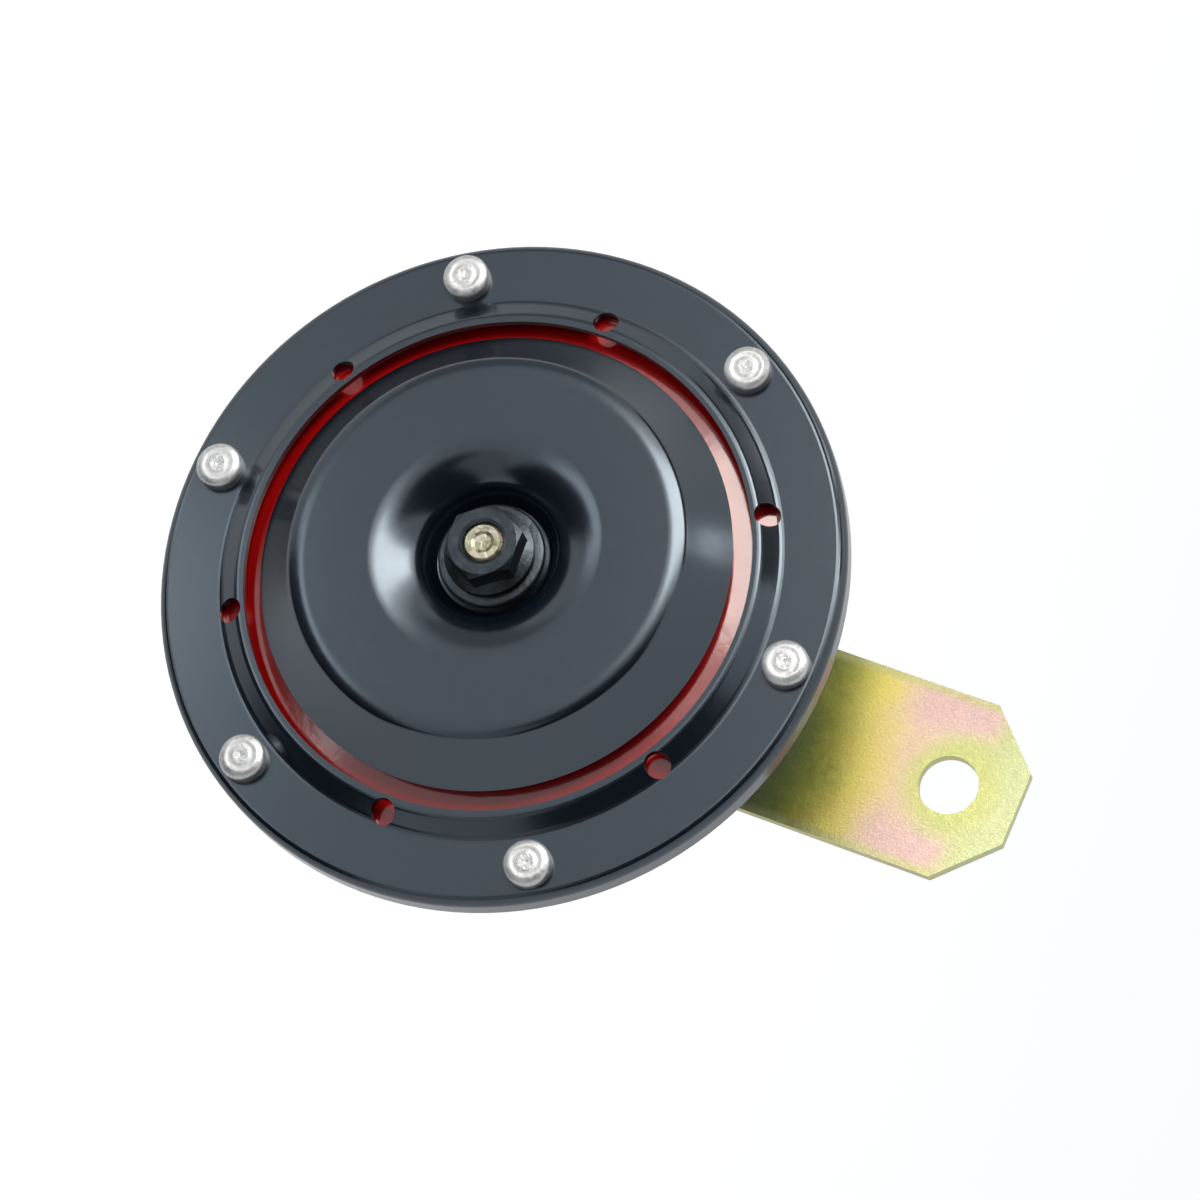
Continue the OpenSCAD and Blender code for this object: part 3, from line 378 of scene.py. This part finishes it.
# The washer's top: flat to its crown, then falling to a rounded edge
CROWN_R = 0.0064
WASHER_FALL = 8
WASHER_EDGE_R = 0.00045


def sweep(points, radius, first, last, steps, hollow=False):
    """Adds an arc, from its first slope to its last, to points that run outwards.

    A point is (r, height, slope). A slope is in degrees, and positive where the face falls
    outwards. A hollow arc has its centre on the face's front side."""
    r, h, _ = points[-1]
    turn = -1 if hollow else 1
    for i in range(1, steps + 1):
        slope = first + (last - first) * i / steps
        points.append((r + turn * radius * (sin_of(slope) - sin_of(first)),
                       h + turn * radius * (cos_of(slope) - cos_of(first)), slope))


def shut(points):
    """Closes a face into a sheet: its back follows every third point at the sheet's thickness."""
    back = points[:1] + points[1:-1:3] + points[-1:]
    back = [(r - SHEET_T * sin_of(slope), h - SHEET_T * cos_of(slope)) for r, h, slope in back]
    return [(r, h) for r, h, _ in points] + back[::-1]


def disc_outline():
    """Seat, steep foot, rounded bowl wall, raised ring, soft shoulder, bend and flare."""
    points = [(HOLE_R, 0.0, 0), (SEAT_R, 0.0, 0)]
    sweep(points, FOOT_R, 0, -FOOT_SLOPE, 5, hollow=True)
    rise = (BEND_R * (cos_of(BEND_SLOPE) - cos_of(FOOT_SLOPE))
            + WALL_R * (cos_of(WALL_SLOPE) - cos_of(BEND_SLOPE))
            + BOWL_RIM_R * (1 - cos_of(WALL_SLOPE)))
    foot_r, foot_h, _ = points[-1]
    straight = BOWL_DEPTH - foot_h - rise
    points.append((foot_r + straight / tan_of(FOOT_SLOPE), foot_h + straight, -FOOT_SLOPE))
    sweep(points, BEND_R, -FOOT_SLOPE, -BEND_SLOPE, 12)
    sweep(points, WALL_R, -BEND_SLOPE, -WALL_SLOPE, 24)
    sweep(points, BOWL_RIM_R, -WALL_SLOPE, 0, 6)
    fall = BOWL_DEPTH + EDGE_DROP
    fall -= SHOULDER_R * (1 - cos_of(SHOULDER_SLOPE))
    fall -= FLARE_BEND_R * (cos_of(SHOULDER_SLOPE) - cos_of(FLARE_SLOPE))
    flare_r = fall / (cos_of(EDGE_SLOPE) - cos_of(FLARE_SLOPE))
    reach = (SHOULDER_R * sin_of(SHOULDER_SLOPE)
             + FLARE_BEND_R * (sin_of(FLARE_SLOPE) - sin_of(SHOULDER_SLOPE))
             + flare_r * (sin_of(FLARE_SLOPE) - sin_of(EDGE_SLOPE)))
    points.append((DISC_R - reach, BOWL_DEPTH, 0))
    sweep(points, SHOULDER_R, 0, SHOULDER_SLOPE, 10)
    sweep(points, FLARE_BEND_R, SHOULDER_SLOPE, FLARE_SLOPE, 14)
    sweep(points, flare_r, FLARE_SLOPE, EDGE_SLOPE, 8, hollow=True)
    return shut(points)


def washer_outline():
    """Flat washer with a slightly fallen, rounded edge."""
    fall_end = WASHER_R - WASHER_EDGE_R * (1 - sin_of(WASHER_FALL))
    fall = (fall_end - CROWN_R) * tan_of(WASHER_FALL)
    points = [(HOLE_R, WASHER_T, 0), (CROWN_R, WASHER_T, 0),
              (fall_end, WASHER_T - fall, WASHER_FALL)]
    sweep(points, WASHER_EDGE_R, WASHER_FALL, 90, 8)
    return [(r, h) for r, h, _ in points] + [(WASHER_R, 0.0), (HOLE_R, 0.0)]


def lathe(name, outline, node, body, slot):
    """Turns a closed outline of (r, height over the seat) about the horn's axis."""
    corners = []
    faces = []
    for step in range(LATHE_STEPS):
        angle = 2 * math.pi * step / LATHE_STEPS
        corners += [(r * math.cos(angle), SEAT_Y - h, AXIS_Z + r * math.sin(angle))
                    for r, h in outline]
    count = len(outline)
    for step in range(LATHE_STEPS):
        here = step * count
        there = (step + 1) % LATHE_STEPS * count
        for k in range(count):
            following = (k + 1) % count
            faces.append((here + k, here + following, there + following, there + k))
    mesh = bpy.data.meshes.new(name)
    mesh.from_pydata(corners, [], faces)
    work = bmesh.new()
    work.from_mesh(mesh)
    bmesh.ops.recalc_face_normals(work, faces=work.faces)
    work.to_mesh(mesh)
    work.free()
    mesh.materials.append(MATERIALS[slot])
    piece = bpy.data.objects.new(name, mesh)
    bpy.context.collection.objects.link(piece)
    mesh.shade_smooth()
    mesh.set_sharp_from_angle(angle=math.radians(SHARP_FROM))
    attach(piece, body)
    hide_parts(node)


lathe("tone_disc_skin", disc_outline(), "tone_disc", "vibrator", "black_paint")
lathe("tone_disc_washer_skin", washer_outline(), "tone_disc_washer", "vibrator", "dark_steel")


# Floor and world, which camera and reflections see brighter than they light the horn
FLOOR_LEVEL = -0.42
FLOOR_HALF = 9.0
FLOOR_GLOW = 0.62
MIRRORED_FLOOR = 0.95
WORLD_TINT = (0.92, 0.96, 1.0, 1)
WORLD_LEVEL = 0.4


def ray_kind(tree, *names):
    """1 for rays of the named kinds, and 0 for the rest."""
    path = tree.nodes.new("ShaderNodeLightPath")
    value = path.outputs[names[0]]
    for name in names[1:]:
        either = tree.nodes.new("ShaderNodeMath")
        either.operation = "MAXIMUM"
        tree.links.new(value, either.inputs[0])
        tree.links.new(path.outputs[name], either.inputs[1])
        value = either.outputs[0]
    return value


def rectangle(name, half_x, half_y, level=0.0):
    """A flat piece that faces its own Z, at a level along it."""
    mesh = bpy.data.meshes.new(name)
    mesh.from_pydata([(-half_x, -half_y, level), (half_x, -half_y, level),
                      (half_x, half_y, level), (-half_x, half_y, level)], [], [(0, 1, 2, 3)])
    piece = bpy.data.objects.new(name, mesh)
    bpy.context.collection.objects.link(piece)
    return piece


floor = rectangle("floor", FLOOR_HALF, FLOOR_HALF, FLOOR_LEVEL)
ground = Shader("floor")
ground.base(ground.shade(ground.noise(2), 0.88, 0.9), 0.8, 0.0)
ground.glow(ground.math("MULTIPLY", ray_kind(ground.tree, "Is Camera Ray"), FLOOR_GLOW))
mirrored = ground.node("ShaderNodeEmission")
mirrored.inputs["Strength"].default_value = MIRRORED_FLOOR
floor_mix = ground.node("ShaderNodeMixShader")
ground.link(ray_kind(ground.tree, "Is Glossy Ray", "Is Transmission Ray"), floor_mix.inputs[0])
ground.link(ground.bsdf.outputs[0], floor_mix.inputs[1])
ground.link(mirrored.outputs[0], floor_mix.inputs[2])
ground.link(floor_mix.outputs[0], ground.out.inputs[0])
floor.data.materials.append(ground.mat)

world = bpy.data.worlds.new("studio")
bpy.context.scene.world = world
world.use_nodes = True
tree = world.node_tree
tree.nodes.clear()
soft = tree.nodes.new("ShaderNodeBackground")
soft.inputs[0].default_value = WORLD_TINT
soft.inputs[1].default_value = WORLD_LEVEL
plain = tree.nodes.new("ShaderNodeBackground")
plain.inputs[0].default_value = WHITE
plain.inputs[1].default_value = 1.0
blend = tree.nodes.new("ShaderNodeMixShader")
out = tree.nodes.new("ShaderNodeOutputWorld")
tree.links.new(ray_kind(tree, "Is Camera Ray", "Is Glossy Ray", "Is Transmission Ray"),
               blend.inputs[0])
tree.links.new(soft.outputs[0], blend.inputs[1])
tree.links.new(plain.outputs[0], blend.inputs[2])
tree.links.new(blend.outputs[0], out.inputs[0])


# Camera, fitted to the ring's outline, the rivets and the bracket's corners in the photo
CAMERA_AT = Vector((0.15239, -0.60362, 0.14869))
CAMERA_AIM = Vector((0.00026, -0.036, -0.04802))
CAMERA_ROLL = 109.28

cam_data = bpy.data.cameras.new("camera")
cam_data.lens = 132.78
cam_data.sensor_width = 36
cam_data.clip_start = 0.01
cam = bpy.data.objects.new("camera", cam_data)
bpy.context.collection.objects.link(cam)
cam.location = CAMERA_AT
cam.rotation_mode = "QUATERNION"
view = (CAMERA_AIM - CAMERA_AT).normalized()
level_view = view.to_track_quat("-Z", "Y")
cam.rotation_quaternion = Quaternion(view, -math.radians(CAMERA_ROLL)) @ level_view
bpy.context.scene.camera = cam


# Lamps and reflection panels, which all face the middle of the ring's front
CENTRE = Vector((0, -0.036, AXIS_Z))
# Watts per square metre at which a lamp looks white
LAMP_WHITE = 4
WARM = (1.0, 0.94, 0.87)


def toward(off, around):
    """A direction by its angle off the horn's axis and its angle round it from +X, in degrees."""
    return Vector((sin_of(off) * cos_of(around), -cos_of(off), sin_of(off) * sin_of(around)))


def stand(obj, direction, distance, across):
    """Stands obj at a distance from the ring's centre, facing it, with its X along across."""
    away = Vector(direction).normalized()
    side = Vector(across)
    side = (side - away * side.dot(away)).normalized()
    turn = Matrix((side, away.cross(side), away)).transposed().to_4x4()
    obj.matrix_world = Matrix.Translation(CENTRE + away * distance) @ turn


def size_at(distance, degrees):
    """Length that fills an angle at a distance."""
    return 2 * distance * tan_of(degrees / 2)


def softbox(name, direction, distance, across, degrees, level, tint=(1, 1, 1)):
    """A rectangular lamp of a given angular size, as bright as level times white."""
    data = bpy.data.lights.new(name, "AREA")
    data.shape = "RECTANGLE"
    data.size, data.size_y = [size_at(distance, angle) for angle in degrees]
    data.energy = LAMP_WHITE * data.size * data.size_y * level
    data.color = tint
    lamp = bpy.data.objects.new(name, data)
    bpy.context.collection.objects.link(lamp)
    stand(lamp, direction, distance, across)


def card(name, direction, distance, across, degrees, level):
    """A panel of a given angular size that only reflections see, as bright as level."""
    half_x, half_y = [size_at(distance, angle) / 2 for angle in degrees]
    panel = rectangle(name, half_x, half_y)
    stand(panel, direction, distance, across)
    panel.visible_camera = False
    panel.visible_diffuse = False
    panel.visible_shadow = False
    paper = Shader(name)
    paper.base(paper.shade(paper.noise(3), 0.02, 0.03), 0.9, 0.0)
    paper.glow(level)
    panel.data.materials.append(paper.mat)


# A warm key lamp in a wider and dimmer halo gives the highlights their soft borders, and two
# small lamps fill. Black panels give disc and ring their dark zones, and grey ones dim the rest.
# Each line has the direction, the distance in metres, the direction of the lamp's or panel's X,
# its angular width and height in degrees, and its level, where 1 is white.
softbox("key", toward(37, 160), 1.2, (-0.67, 0.33, -0.66), (20, 43), 6.9, WARM)
softbox("halo", toward(40, 160), 1.35, (-0.67, 0.33, -0.66), (36, 66), 1.2, WARM)
softbox("low_fill", toward(38, 270), 0.46, (1, 0, 0), (24, 20), 1.9)
softbox("high_fill", toward(80, 133), 1.2, (0.7, 0, 0.7), (9, 9), 2.6)
card("dark_flag", toward(31, 54), 1.6, (-0.79, 0, 0.62), (56, 50), 0.0)
card("low_dark_flag", toward(52, 303), 0.32, (1, 0, 0.6), (58, 40), 0.0)
card("grey_flag", toward(34, 354), 1.5, (0, 0, 1), (30, 34), 0.6)
card("band_flag", (-0.06, -0.03, 0.042), 0.079, (-0.7, 0, -0.7), (50, 17), 0.0)
card("low_left_flag", toward(62, 222), 0.5, (0.7, 0, -0.7), (50, 30), 0.45)

bpy.context.scene.view_settings.view_transform = "Standard"
